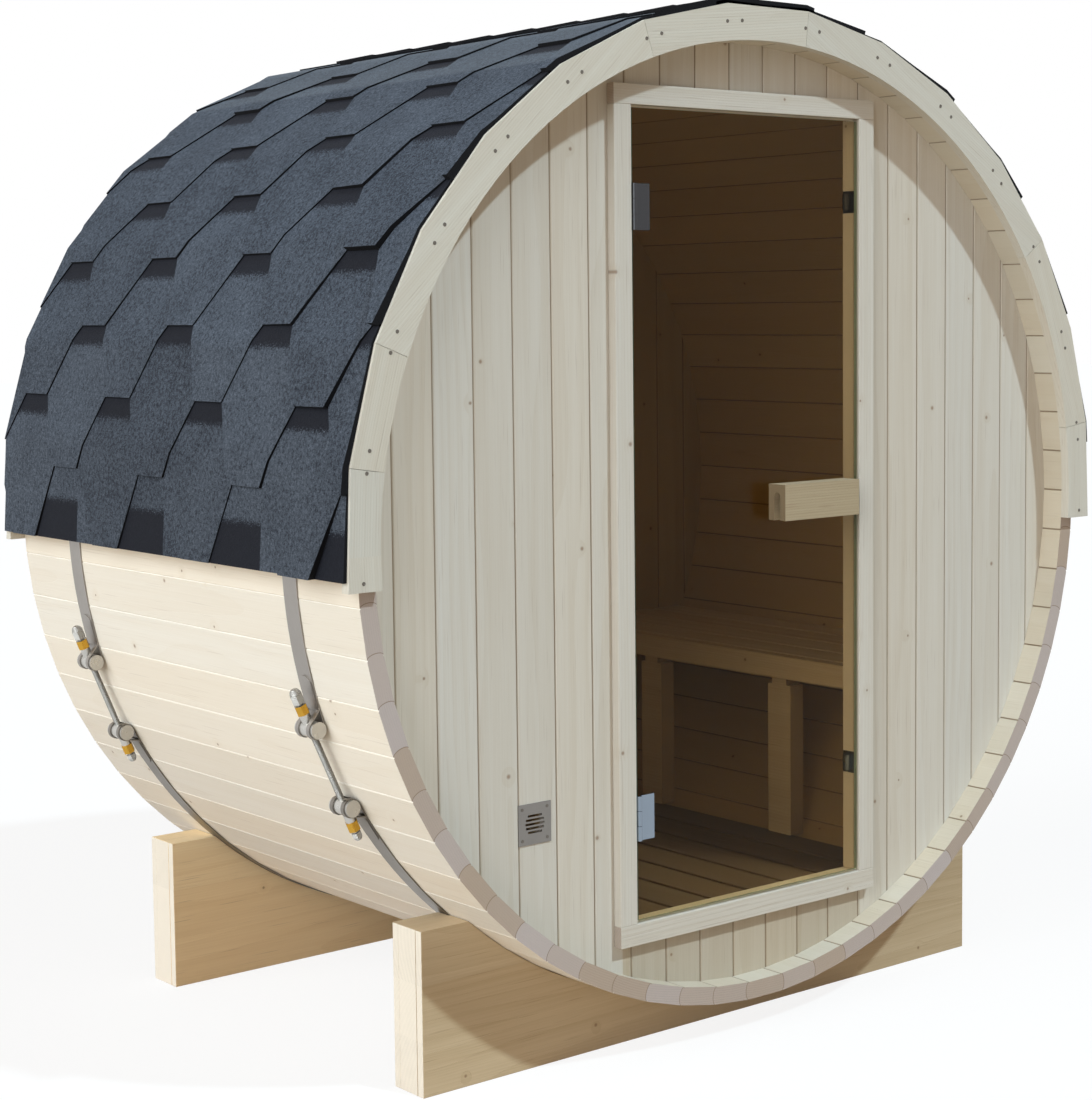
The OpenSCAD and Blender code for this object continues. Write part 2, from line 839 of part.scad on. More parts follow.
staves(0);  // staves_01
staves(1);  // staves_02
staves(2);  // staves_03
staves(3);  // staves_04
staves(4);  // staves_05
staves(5);  // staves_06
staves(6);  // staves_07
staves(7);  // staves_08
staves(8);  // staves_09
staves(9);  // staves_10
staves(10);  // staves_11
front_wall_left();
front_wall_right();
front_wall_over_door();
front_wall_under_door();
rear_wall();
casing_left();
casing_right();
casing_head();
casing_sill();
jamb_left();
jamb_right();
jamb_head();
threshold();
vent_plate();
gable_boards_front();
gable_boards_rear();
roof_deck();
shingles_left();
shingles_right();
hoop_front();
hoop_rear();
clamp_front();
clamp_rear();
cradle_front();
cradle_rear();
floor_slats();
floor_bearers();
bench_seat();
bench_frame();
door_glass();
door_handle();
hinge_leaves();
hinge_plates();
door_catches();
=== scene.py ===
import math
import random

import bpy
from mathutils import Matrix, Vector


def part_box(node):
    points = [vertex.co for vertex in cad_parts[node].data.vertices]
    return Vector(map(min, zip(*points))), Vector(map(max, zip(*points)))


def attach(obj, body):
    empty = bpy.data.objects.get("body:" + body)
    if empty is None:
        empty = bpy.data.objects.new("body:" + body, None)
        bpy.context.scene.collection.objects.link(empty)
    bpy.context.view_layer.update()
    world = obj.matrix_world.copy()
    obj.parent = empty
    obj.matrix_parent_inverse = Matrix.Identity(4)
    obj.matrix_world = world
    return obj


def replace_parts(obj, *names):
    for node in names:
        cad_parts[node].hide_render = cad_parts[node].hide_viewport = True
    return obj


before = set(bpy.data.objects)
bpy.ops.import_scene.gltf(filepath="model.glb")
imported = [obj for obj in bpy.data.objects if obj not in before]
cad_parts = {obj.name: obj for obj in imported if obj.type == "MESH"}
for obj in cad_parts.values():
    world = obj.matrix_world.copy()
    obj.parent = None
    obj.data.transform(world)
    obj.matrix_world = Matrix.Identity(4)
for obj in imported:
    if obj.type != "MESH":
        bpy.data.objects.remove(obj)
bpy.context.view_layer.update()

# Barrel, in metres like all lengths here. Its axis runs along Y, with the door at the low end
AXIS_Z = 1.02
BARREL_R = 0.95
STAVE_T = 0.036
STAVE_COUNT = 66
STAVE_W = 2 * math.pi * BARREL_R / STAVE_COUNT
FRONT_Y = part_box("staves_01")[0].y
REAR_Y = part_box("staves_01")[1].y
WALL_BOARD_W = 0.0892
WALL_BOARD_SHIFT = -0.038
ROOM_FRONT_Y = (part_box("front_wall_left")[0].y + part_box("front_wall_left")[1].y) / 2
ROOM_REAR_Y = (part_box("rear_wall")[0].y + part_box("rear_wall")[1].y) / 2

# Roof: flats that turn by FLAT_DEG, with their corners on a circle of radius ROOF_R
FLAT_DEG = 12.5
FIRST_CORNER_DEG = 8.75
CORNER_COUNT = 14
ROOF_R = 0.983
# Corners at which two gable boards meet
GABLE_JOINTS = (0, 2, 6, 8, 12, 13)
GABLE_FACE_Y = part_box("gable_boards_front")[0].y
GABLE_BACK_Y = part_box("gable_boards_rear")[1].y

# Shingles: six-sided tabs, measured along the eaves (s) and up the roof (t)
EAVES_DROP = 0.042
UNROLL_R = 0.985
EAVES_ANGLE = -math.asin(EAVES_DROP / UNROLL_R)
RIDGE_T = (math.pi / 2 - EAVES_ANGLE) * UNROLL_R
SHINGLE_OVER = 0.014
COURSE = 0.146
TAB_PITCH = 0.346
# Half the width of a tab at its foot and at its shoulders
TAB_FOOT = 0.05
TAB_SHOULDER = 0.123
# How far a tab's head reaches under its neighbours
TAB_TUCK = 0.003
FIRST_COLUMN_Y = -0.5
COLUMNS = range(-2, 5)
# How unevenly the tabs are laid
SIDE_SLIP = 0.002
FOOT_SLIP = 0.001
LIFT_RANGE = (-0.0015, 0.0022)
CURL_RANGE = (0.3, 1.0)
# Thickness of one layer, and heights of the felt and of all undersides over the deck
LAYER = 0.0028
UNDERLAY = 0.0015
UNDERSIDE = 0.0001
# Feet of the tabs stand off more toward the front edge, most of all low on the left
FRONT_CURL_W = 0.3
CURLED_COURSES = 6
CURL_H = 0.010
SLIGHT_CURL_H = 0.002
# Dark sealing patches: their height on a tab, the lean of their side, their height at the eaves
PATCH_H = 0.042
PATCH_SLANT = 0.35
STARTER_PATCH = 0.229
# Ridge caps: half their width, their length in courses and the height of their fronts in layers
CAP_HALF_W = 0.13
CAP_COURSES = 1.3
CAP_LAYERS = 4.2
FIRST_CAP_NUMBER = 500

# Sockets of a mix node that are for colours. Those for other types have the same names
MIX_AMOUNT, MIX_FIRST, MIX_SECOND, MIX_RESULT = 0, 6, 7, 2


def srgb(red, green, blue):
    """Linear colour of a screen colour given in 8-bit steps."""
    def linear(step):
        share = step / 255
        return share / 12.92 if share <= 0.04045 else ((share + 0.055) / 1.055) ** 2.4

    return (linear(red), linear(green), linear(blue), 1.0)


WHITE = (1.0, 1.0, 1.0, 1.0)


class Value:
    """A number worked out at each point of a surface, so that formulas can be written as such."""

    def __init__(self, paint, socket):
        self.paint = paint
        self.socket = socket

    def __add__(self, other):
        return self.paint.math("ADD", self, other)

    def __sub__(self, other):
        return self.paint.math("SUBTRACT", self, other)

    def __rsub__(self, other):
        return self.paint.math("SUBTRACT", other, self)

    def __mul__(self, other):
        return self.paint.math("MULTIPLY", self, other)

    def __truediv__(self, other):
        return self.paint.math("DIVIDE", self, other)

    def __abs__(self):
        return self.paint.math("ABSOLUTE", self)

    __radd__ = __add__
    __rmul__ = __mul__

    def floor(self):
        return self.paint.math("FLOOR", self)

    def fraction(self):
        return self.paint.math("FRACT", self)

    def over(self, limit):
        return self.paint.math("GREATER_THAN", self, limit)

    def fade(self, start, end):
        """Rises smoothly from 0 at start to 1 at end. End may be the lower of the two."""
        made = self.paint.node("ShaderNodeMapRange", interpolation_type="SMOOTHSTEP")
        for name, value in (("Value", self), ("From Min", start), ("From Max", end)):
            self.paint.feed(made.inputs[name], value)
        return Value(self.paint, made.outputs["Result"])


class Paint:
    """One material made of nodes. Each method adds nodes and gives back what they work out."""

    def __init__(self, name):
        self.material = bpy.data.materials.new(name)
        self.material.use_nodes = True
        self.tree = self.material.node_tree
        self.tree.nodes.clear()
        self.coordinates = self.node("ShaderNodeTexCoord")

    def node(self, kind, **settings):
        made = self.tree.nodes.new(kind)
        for name, value in settings.items():
            setattr(made, name, value)
        return made

    def feed(self, socket, value):
        if isinstance(value, Value):
            value = value.socket
        if isinstance(value, bpy.types.NodeSocket):
            self.tree.links.new(value, socket)
        else:
            socket.default_value = value

    def math(self, operation, *values):
        made = self.node("ShaderNodeMath", operation=operation)
        for socket, value in zip(made.inputs, values):
            self.feed(socket, value)
        return Value(self, made.outputs[0])

    def number(self, value):
        """A plain number that can stand in formulas."""
        return self.math("ADD", value, 0.0)

    def length(self, x, y):
        return self.math("SQRT", x * x + y * y)

    def split(self, output):
        made = self.node("ShaderNodeSeparateXYZ")
        self.feed(made.inputs[0], output)
        return [Value(self, socket) for socket in made.outputs]

    def position(self):
        return self.split(self.coordinates.outputs["Object"])

    def normal(self):
        return self.split(self.coordinates.outputs["Normal"])

    def point(self, x, y, z=0.0):
        made = self.node("ShaderNodeCombineXYZ")
        for socket, value in zip(made.inputs, (x, y, z)):
            self.feed(socket, value)
        return made.outputs[0]

    def noise(self, x, y, z, detail=2.0):
        made = self.node("ShaderNodeTexNoise")
        self.feed(made.inputs["Vector"], self.point(x, y, z))
        made.inputs["Scale"].default_value = 1.0
        made.inputs["Detail"].default_value = detail
        return Value(self, made.outputs["Fac"])

    def even_noise(self, place, scale, detail=2.0):
        """Noise that is as fine along all three axes."""
        return self.noise(*[axis * scale for axis in place], detail)

    def random(self, seed):
        made = self.node("ShaderNodeTexWhiteNoise", noise_dimensions="1D")
        self.feed(made.inputs["W"], seed)
        return Value(self, made.outputs["Value"])

    def spots(self, x, y, cell):
        """Distance in metres to the nearest spot, and two random numbers that belong to it."""
        made = self.node("ShaderNodeTexVoronoi", voronoi_dimensions="2D")
        self.feed(made.inputs["Vector"], self.point(x, y))
        made.inputs["Scale"].default_value = 1 / cell
        kind, size, _ = self.split(made.outputs["Color"])
        return Value(self, made.outputs["Distance"]) * cell, kind, size

    def attribute(self, name):
        return Value(self, self.node("ShaderNodeAttribute", attribute_name=name).outputs["Fac"])

    def mix(self, amount, first, second, blend="MIX"):
        made = self.node("ShaderNodeMix", data_type="RGBA", blend_type=blend, clamp_factor=True)
        self.feed(made.inputs[MIX_AMOUNT], amount)
        for index, value in ((MIX_FIRST, first), (MIX_SECOND, second)):
            if isinstance(value, float):
                value = (value, value, value, 1.0)
            self.feed(made.inputs[index], value)
        return made.outputs[MIX_RESULT]

    def multiply(self, amount, colour, by):
        return self.mix(amount, colour, by, "MULTIPLY")

    def mix_shader(self, amount, first, second):
        made = self.node("ShaderNodeMixShader")
        for socket, value in zip(made.inputs, (amount, first, second)):
            self.feed(socket, value)
        return made.outputs[0]

    def surface(self, colour, roughness, height=None, relief=0.0005, metallic=0.0, specular=0.4):
        """The finished material. With a height it has a bump that is as deep as relief."""
        shader = self.node("ShaderNodeBsdfPrincipled")
        self.feed(shader.inputs["Base Color"], colour)
        self.feed(shader.inputs["Roughness"], roughness)
        shader.inputs["Metallic"].default_value = metallic
        shader.inputs["Specular IOR Level"].default_value = specular
        if height is not None:
            bump = self.node("ShaderNodeBump")
            bump.inputs["Distance"].default_value = relief
            self.feed(bump.inputs["Height"], height)
            self.feed(shader.inputs["Normal"], bump.outputs[0])
        return self.close(shader.outputs[0])

    def close(self, shader_output):
        output = self.node("ShaderNodeOutputMaterial")
        self.feed(output.inputs["Surface"], shader_output)
        return self.material


def wood_tone(light, dark, end, grain, clear):
    """Colours of a wood's face and end grain, strength of its grain, share of it without knots."""
    return {"light": srgb(*light), "dark": srgb(*dark), "end": srgb(*end),
            "grain": grain, "clear": clear}


GREY_END = (190, 174, 162)
CRADLE_END = (244, 234, 219)
PINE = wood_tone((243, 239, 231), (222, 208, 188), GREY_END, 0.35, 0.74)
WALL_PINE = wood_tone((221, 217, 210), (196, 182, 162), GREY_END, 0.6, 0.7)
# Darker pine for the wall under the door: painted shadow of the sill
UNDER_SILL_SHADE_PINE = wood_tone((200, 190, 174), (174, 156, 130), GREY_END, 0.6, 0.7)
GABLE_PINE = wood_tone((222, 220, 212), (190, 174, 152), GREY_END, 0.5, 0.7)
# Paler than the staves' pine: painted light on the jambs and threshold behind the glass
LIT_JAMB_PINE = wood_tone((252, 249, 243), (234, 224, 208), GREY_END, 0.4, 0.74)
# Front cradle darker and browner: painted shade. Rear cradle paler: painted light
CRADLE_PINE = wood_tone((204, 184, 154), (176, 152, 118), CRADLE_END, 0.8, 0.62)
REAR_CRADLE_PINE = wood_tone((248, 226, 188), (224, 194, 148), CRADLE_END, 0.8, 0.62)
INSIDE_PINE = wood_tone((240, 228, 206), (212, 192, 160), (190, 166, 136), 1.0, 0.7)
# Dark floor slats: painted shade of the closed room
SHADED_FLOOR_PINE = wood_tone((122, 107, 88), (98, 83, 66), (92, 78, 62), 1.0, 0.7)
DECK_PINE = wood_tone((216, 194, 160), (190, 160, 122), (180, 150, 116), 1.0, 0.62)
HANDLE_WOOD = wood_tone((180, 164, 137), (152, 132, 102), (146, 126, 98), 0.9, 1.0)
KNOT = srgb(128, 92, 62)
ROSY = srgb(255, 243, 227)
JOINT = srgb(122, 98, 72)
WALL_JOINT = srgb(140, 116, 88)
# Painted highlight along the outer stave seams
SEAM_HIGHLIGHT = srgb(252, 249, 243)
# Painted shade of the closed room, multiplied on the faces toward it
ROOM_SHADE = srgb(228, 206, 166)
# Painted shade under the rim, multiplied on the staves' inner faces outside the walls
OVERHANG_SHADE = srgb(226, 224, 217)
BOARD_ROUGHNESS = 0.62
SHELL_ROUGHNESS = 0.6
RING_W = 0.0045
KNOT_CELL = 0.15


def in_room(y):
    """1 between the middles of the front and rear walls."""
    return y.over(ROOM_FRONT_Y) * (1.0 - y.over(ROOM_REAR_Y))


def growth_rings(paint, along, across, depth, chances, wander, around):
    """0 to 1 across each year's ring. A board is cut at a random place and slope in its tree."""
    heart_shift, heart_deep, heart_near = 0.2, 0.08, 0.05
    wave, swirl, slope = 0.012, 0.004, 0.012
    first, second, third = chances
    side = across + (first - 0.5) * heart_shift
    deep = depth + second * heart_deep + heart_near
    deep = deep + wander * wave + around * swirl + along * (third - 0.5) * slope
    return (paint.length(side, deep) / RING_W).fraction().fade(0.3, 1.0)


def knots(paint, far, across, tone):
    """Share of a knot at a point, and share of the swirl in the grain around it."""
    knot_r, knot_r_more, core_r, swirl_r = 0.003, 0.004, 0.001, 0.022
    distance, kind, size = paint.spots(far, across, KNOT_CELL)
    present = kind.over(tone["clear"])
    knot = distance.fade(size * knot_r_more + knot_r, core_r) * present
    return knot, distance.fade(swirl_r, 0.0) * present


def wood(paint, along, across, depth, piece, tone, end):
    """Colour and height of planed softwood.

    Piece numbers the board, so that no two are alike, and end is 1 on its end grain.
    """
    board_step = 3.1
    grain_level, grain_base = 0.67, 0.25
    rosy_share, knot_share, swirl_share, fleck_share = 0.45, 0.7, 0.25, 0.35
    first, second, third = chances = [paint.random(piece + seed) for seed in (0.37, 17.3, 41.9)]
    far = along + piece * board_step

    def streaks(along_scale, across_scale, detail=2.0):
        """Noise with so many waves in a metre along the grain and across it."""
        return paint.noise(far * along_scale, across * across_scale, depth * across_scale, detail)

    knot, around = knots(paint, far, across + second, tone)
    wander = streaks(1.2, 5.0) - 0.5
    late = growth_rings(paint, along, across, depth, chances, wander, around)
    fine = streaks(4.0, 320.0, 1.0)
    broad = streaks(1.1, 40.0)
    fleck = streaks(9.0, 480.0, 0.0).fade(0.72, 0.82)

    dark = late * 0.22 + fine * 0.5 + broad * 0.7 - grain_level
    colour = paint.mix(dark * tone["grain"] + grain_base, tone["light"], tone["dark"])
    colour = paint.multiply(first * rosy_share, colour, ROSY)
    colour = paint.multiply(1.0, colour, third * 0.08 + 0.94)
    colour = paint.mix(fleck * fleck_share * tone["grain"], colour, KNOT)
    colour = paint.mix(around * swirl_share, colour, tone["dark"])
    colour = paint.mix(knot * knot_share, colour, KNOT)
    end_colour = paint.multiply(late * 0.6 + broad * 0.3, tone["end"], second * 0.3 + 0.66)
    height = fine * 0.6 - late * 0.3 - knot * 0.4
    return paint.mix(end, colour, end_colour), height


def is_end(facing):
    """1 on end grain, from how much the surface faces along the grain."""
    return abs(facing).fade(0.5, 0.9)


def board_paint(name, tone, grain, width, pitch=0.0, origin=0.0, number=0.0, joint=0.0):
    """Wood with its grain along one axis. With a pitch it is boards side by side along another.

    With a joint it is a wall: a line at each joint, and painted shade makes the room side browner.
    """
    joint_core, joint_share = 0.4, 0.7
    paint = Paint(name)
    place = dict(zip("xyz", paint.position()))
    facing = dict(zip("xyz", paint.normal()))
    depth_axis = ({"x", "y", "z"} - {grain, width}).pop()
    across = place[width]
    piece = number
    if pitch:
        count = (across - origin) / pitch
        piece = count.floor() + number
        across = (count.fraction() - 0.5) * pitch
    end = is_end(facing[grain])
    colour, height = wood(paint, place[grain], across, place[depth_axis], piece, tone, end)
    if joint:
        line = (pitch / 2 - abs(across)).fade(joint, joint * joint_core)
        colour = paint.mix(line * joint_share, colour, WALL_JOINT)
        # Painted shade: the faces toward the room are darker and browner
        colour = paint.multiply(in_room(place["y"]), colour, ROOM_SHADE)
    return paint.surface(colour, BOARD_ROUGHNESS, height)


def stave_paint():
    """Staves side by side round the barrel. At the ends their joints are arcs that bulge upward."""
    arc_h = 0.008
    seam_w, inner_seam_more, seam_core_w = 0.0012, 0.0016, 0.0003
    outer_highlight_share, other_seam_share, lilac_share = 0.7, 0.75, 0.55
    pale_lilac, brown = srgb(200, 190, 192), srgb(178, 154, 132)
    middle_r, middle_blur = BARREL_R - STAVE_T / 2, 0.002
    paint = Paint("stave_pine")
    x, y, z = paint.position()
    up = z - AXIS_Z
    radius = paint.length(x, up)
    end = is_end(paint.normal()[1])
    middle = (radius - middle_r) / (STAVE_T / 2)
    bulge = paint.math("SQRT", paint.math("MAXIMUM", 1.0 - middle * middle, 0.0))
    bulge = bulge * (arc_h / STAVE_W)
    lean = paint.math("SIGN", x)
    turn = paint.math("ARCTAN2", up, x) * (STAVE_COUNT / (2 * math.pi)) - lean * bulge * end
    piece = turn.floor()
    across = (turn.fraction() - 0.5) * STAVE_W
    colour, height = wood(paint, y, across, radius, piece, PINE, end)
    lilac = paint.mix(paint.random(piece + 7.7), pale_lilac, brown)
    colour = paint.mix(end * lilac_share, colour, lilac)
    inside = radius.fade(middle_r + middle_blur, middle_r - middle_blur) * (1.0 - end)
    outside = (1.0 - inside) * (1.0 - end)
    # Inner faces: painted shade of the closed room inside the walls, and under the rim outside them
    tint = paint.mix(in_room(y), OVERHANG_SHADE, ROOM_SHADE)
    colour = paint.multiply(inside, colour, tint)
    line = (STAVE_W / 2 - abs(across)).fade(inside * inner_seam_more + seam_w, seam_core_w)
    # Thin pale lines on the outer seams: painted highlight where the grooves catch the light
    colour = paint.mix(line * outside * outer_highlight_share, colour, SEAM_HIGHLIGHT)
    colour = paint.mix(line * (1.0 - outside) * other_seam_share, colour, JOINT)
    return paint.surface(colour, SHELL_ROUGHNESS, height)


def gable_paint():
    """Gable boards, each with its grain along its own chord."""
    first_number = 200.0
    paint = Paint("gable_pine")
    x, y, z = paint.position()
    up = z - AXIS_Z
    turn = paint.math("ARCTAN2", up, x) * (180 / math.pi)
    joints = [FIRST_CORNER_DEG + k * FLAT_DEG for k in GABLE_JOINTS]
    bounds = [joints[0] - FLAT_DEG, *joints, joints[-1] + FLAT_DEG]
    middles = [(a + b) / 2 for a, b in zip(bounds, bounds[1:])]
    middle = paint.number(middles[0])
    piece = paint.number(first_number)
    for joint, before, after in zip(joints, middles, middles[1:]):
        passed = turn.over(joint)
        middle = middle + passed * (after - before)
        piece = piece + passed
    angle = middle * (math.pi / 180)
    cosine = paint.math("COSINE", angle)
    sine = paint.math("SINE", angle)
    along = up * cosine - x * sine
    across = x * cosine + up * sine
    colour, height = wood(paint, along, across, y, piece, GABLE_PINE, 0.0)
    return paint.surface(colour, SHELL_ROUGHNESS, height)


def shingle_paint():
    """Mineral granules on bitumen felt, with the dark sealing patch at the top of each tab."""
    paint = Paint("shingle_granules")
    x, y, z = place = paint.position()
    up = z - AXIS_Z
    nx, _, nz = paint.normal()
    outward = (nx * x + nz * up) / paint.length(x, up)
    dark_grain, pale_grain, top_sheen_colour = srgb(33, 37, 45), srgb(92, 100, 112), srgb(142, 149, 156)
    sealing_strip, cut_felt = srgb(21, 22, 29), srgb(18, 18, 21)
    shade_level, top_sheen_share, strip_share = 1.42, 0.3, 0.95
    fray, blur, relief = 0.05, 0.003, 0.0014
    grit = paint.even_noise(place, 420.0, 3.0)
    coarse = paint.even_noise(place, 150.0)
    cloud = paint.even_noise(place, 9.0)
    chance = paint.random(paint.attribute("tab_number"))
    shade = grit * 1.8 + coarse * 1.3 + cloud * 0.4 + chance * 0.2 - shade_level
    colour = paint.mix(shade, dark_grain, pale_grain)
    # Lighter where the roof faces up, near the ridge: a painted sheen
    colour = paint.mix(nz.fade(0.85, 1.0) * top_sheen_share, colour, top_sheen_colour)
    frayed = paint.attribute("fuzzy") + (paint.even_noise(place, 380.0) - 0.5) * fray
    patch = frayed.fade(-blur, blur) * paint.attribute("crisp").over(0.0)
    colour = paint.mix(patch * strip_share, colour, sealing_strip)
    colour = paint.mix(outward.fade(0.75, 0.55), colour, cut_felt)
    return paint.surface(colour, 0.8, grit, relief, specular=0.12)


def steel_paint(name, colour, roughness, streak_axis, low_painted_light=None, low_z=AXIS_Z):
    """Metal brushed along one axis. Around the height low_z it fades to a painted light below."""
    fade_h = 0.15
    along_scale, across_scale, smudge_scale = 12.0, 700.0, 18.0
    streak_share, smudge_share, shade, relief = 0.25, 0.25, 0.55, 0.0001
    paint = Paint(name)
    place = dict(zip("xyz", paint.position()))
    if low_painted_light:
        colour = paint.mix(place["z"].fade(low_z - fade_h, low_z + fade_h), low_painted_light, colour)
    streaks = paint.noise(*[place[axis] * (along_scale if axis == streak_axis else across_scale)
                            for axis in "xyz"])
    smudge = paint.even_noise(place.values(), smudge_scale)
    tinted = paint.multiply(streaks * streak_share + smudge * smudge_share, colour, shade)
    return paint.surface(tinted, smudge * 0.2 + roughness, streaks, relief,
                         metallic=1.0, specular=0.5)


def clamp_paint(name, upper_deg, lower_deg):
    """Bright steel, a threaded rod between the trunnions and yellow zinc on the nuts past them."""
    centre_r = 0.968
    nut_start, nut_end = 0.0315, 0.0505
    trunnion_r = 0.0155
    thread_pitch = 0.0018
    steel, zinc = srgb(205, 202, 196), srgb(208, 160, 62)
    top, bottom = (Vector((math.cos(math.radians(a)), math.sin(math.radians(a)))) * centre_r
                   for a in (upper_deg, lower_deg))
    half = (bottom - top).length / 2
    way = (bottom - top).normalized()
    centre = (top + bottom) / 2
    paint = Paint(name)
    x, y, z = place = paint.position()
    past = abs((x - centre.x) * way.x + (z - AXIS_Z - centre.y) * way.y) - half
    nut = past.over(nut_start) * (1.0 - past.over(nut_end))
    threads = paint.math("SINE", past * (2 * math.pi / thread_pitch))
    between = (0.0 - past).fade(trunnion_r, trunnion_r + 0.002)
    rod = paint.math("MAXIMUM", between, past.over(nut_end) * 0.6)
    smudge = paint.even_noise(place, 60.0)
    colour = paint.mix(nut, steel, zinc)
    colour = paint.multiply(smudge * 0.5, colour, 0.6)
    # The rod is darker, with darker stripes along its threads: painted shade in the thread grooves
    colour = paint.multiply(rod * (threads * 0.3 + 0.6), colour, 0.3)
    return paint.surface(colour, smudge * 0.3 + 0.15, threads * rod, 0.0004, metallic=0.9)


def glass_paint():
    """Bronze glass with paler, greenish edges. It lets tinted light through to the room."""
    bronze, edge_green, light_tint = srgb(202, 188, 162), srgb(120, 132, 110), srgb(204, 193, 176)
    # Lower than real glass has, so that the pane mirrors no more than the photo's
    faint_ior = 1.14
    paint = Paint("bronze_glass")
    pane = paint.node("ShaderNodeBsdfPrincipled")
    pane.inputs["Base Color"].default_value = bronze
    pane.inputs["Roughness"].default_value = 0.0
    pane.inputs["IOR"].default_value = faint_ior
    pane.inputs["Transmission Weight"].default_value = 1.0
    edge = paint.node("ShaderNodeBsdfPrincipled")
    edge.inputs["Base Color"].default_value = edge_green
    edge.inputs["Roughness"].default_value = 0.3
    on_edge = abs(paint.normal()[1]).fade(0.6, 0.4)
    body = paint.mix_shader(on_edge, pane.outputs[0], edge.outputs[0])
    through = paint.node("ShaderNodeBsdfTransparent")
    through.inputs["Color"].default_value = light_tint
    is_shadow = paint.node("ShaderNodeLightPath").outputs["Is Shadow Ray"]
    return paint.close(paint.mix_shader(is_shadow, body, through.outputs[0]))


def dress(material, *names):
    """Gives CAD nodes their material."""
    for name in names:
        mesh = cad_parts[name].data
        mesh.materials.clear()
        mesh.materials.append(material)


# Below, numbers such as 70.0 are those of a piece's first board, far enough apart that each
# board in the sauna has its own and looks like no other


def wall_paint(name, tone, number):
    """Upright boards with a dark line at each joint."""
    joint_w = 0.0022
    return board_paint(name, tone, "z", "x", WALL_BOARD_W, WALL_BOARD_SHIFT, number, joint_w)


def dress_shell():
    dress(stave_paint(), *[f"staves_{n:02d}" for n in range(1, 12)])
    dress(wall_paint("wall_pine", WALL_PINE, 70.0),
          "front_wall_left", "front_wall_right", "front_wall_over_door", "rear_wall")
    # The wall under the door carries painted shadow of the sill
    dress(wall_paint("under_sill_shade_pine", UNDER_SILL_SHADE_PINE, 270.0), "front_wall_under_door")
    dress(gable_paint(), "gable_boards_front", "gable_boards_rear")
    deck_board_w, cradle_board_h = 0.2, 0.104
    dress(board_paint("deck_pine", DECK_PINE, "y", "x", deck_board_w, 0.0, 340.0), "roof_deck")
    # Painted shade on the front cradle, painted light on the rear one
    for name, tone, number in (("cradle_front", CRADLE_PINE, 360.0),
                               ("cradle_rear", REAR_CRADLE_PINE, 370.0)):
        dress(board_paint(f"{name}_pine", tone, "x", "z", cradle_board_h, 0.0, number), name)


def dress_doorway():
    casings = (("casing_left", "z", "x"), ("casing_right", "z", "x"),
               ("casing_head", "x", "z"), ("casing_sill", "x", "z"))
    jambs = (("jamb_left", "z", "y"), ("jamb_right", "z", "y"),
             ("jamb_head", "x", "y"), ("threshold", "x", "y"))
    # The jambs and threshold carry painted light
    for tone, first_number, boards in ((WALL_PINE, 300.0, casings), (LIT_JAMB_PINE, 320.0, jambs)):
        for k, (name, grain, width) in enumerate(boards):
            dress(board_paint(f"{name}_pine", tone, grain, width, number=first_number + k), name)
    dress(glass_paint(), "door_glass")
    dress(board_paint("handle_wood", HANDLE_WOOD, "x", "z", number=440.0), "door_handle")
    # Dark above the axis height and pale blue-grey below it: painted reflection
    dress(steel_paint("hinge_chrome", srgb(74, 74, 76), 0.12, "z", srgb(143, 155, 168)),
          "hinge_leaves", "hinge_plates", "door_catches")


def dress_room():
    slat_pitch, slat_gap, seat_pitch = 0.102, 0.005, 0.09
    first_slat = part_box("floor_slats")[0].x - slat_gap
    first_seat_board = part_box("bench_seat")[0].x
    dress(board_paint("floor_pine_painted_shade", SHADED_FLOOR_PINE, "y", "x", slat_pitch, first_slat, 380.0),
          "floor_slats")
    dress(board_paint("bearer_pine", INSIDE_PINE, "x", "z", number=400.0), "floor_bearers")
    dress(board_paint("bench_pine", INSIDE_PINE, "y", "x", seat_pitch, first_seat_board, 410.0),
          "bench_seat")
    dress(board_paint("bench_frame_pine", INSIDE_PINE, "y", "z", number=430.0), "bench_frame")


def dress_steel():
    # The straps turn darker low on the barrel: painted shade
    strap, low_strap_shade, low_strap_z = srgb(168, 162, 156), srgb(136, 130, 122), 0.63
    dress(steel_paint("strap_steel", strap, 0.3, "z", low_strap_shade, low_strap_z),
          "hoop_front", "hoop_rear")
    dress(clamp_paint("clamp_front_steel", upper_deg=199.7, lower_deg=209.5), "clamp_front")
    dress(clamp_paint("clamp_rear_steel", upper_deg=197.9, lower_deg=207.7), "clamp_rear")
    dress(steel_paint("vent_steel", srgb(140, 136, 131), 0.28, "x"), "vent_plate")


def soften(width, *names):
    """Rounds the edges of CAD nodes a little, as planed and sanded boards have them."""
    same_point = 0.00002
    sharp_deg = 40
    for name in names:
        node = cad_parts[name]
        weld = node.modifiers.new("weld", "WELD")
        weld.merge_threshold = same_point
        bevel = node.modifiers.new("rounded_edges", "BEVEL")
        bevel.width = width
        bevel.segments = 2
        bevel.limit_method = "ANGLE"
        bevel.angle_limit = math.radians(sharp_deg)


def new_object(name, points, faces, material):
    mesh = bpy.data.meshes.new(name)
    mesh.from_pydata(points, [], faces)
    mesh.materials.append(material)
    made = bpy.data.objects.new(name, mesh)
    bpy.context.scene.collection.objects.link(made)
    return made


def clip(outline, axis, limit, side):
    """The part of a convex outline on one side of a line. Side 1 keeps what is above, -1 below."""
    kept = []
    for a, b in zip(outline, outline[1:] + outline[:1]):
        a_in = (a[axis] - limit) * side >= 0
        b_in = (b[axis] - limit) * side >= 0
        if a_in:
            kept.append(a)
        if a_in != b_in:
            share = (limit - a[axis]) / (b[axis] - a[axis])
            kept.append(tuple(p + (q - p) * share for p, q in zip(a, b)))
    return kept


def cut_to(outline, axis, low, high):
    """The part of a convex outline between two lines."""
    return clip(clip(outline, axis, low, 1), axis, high, -1)


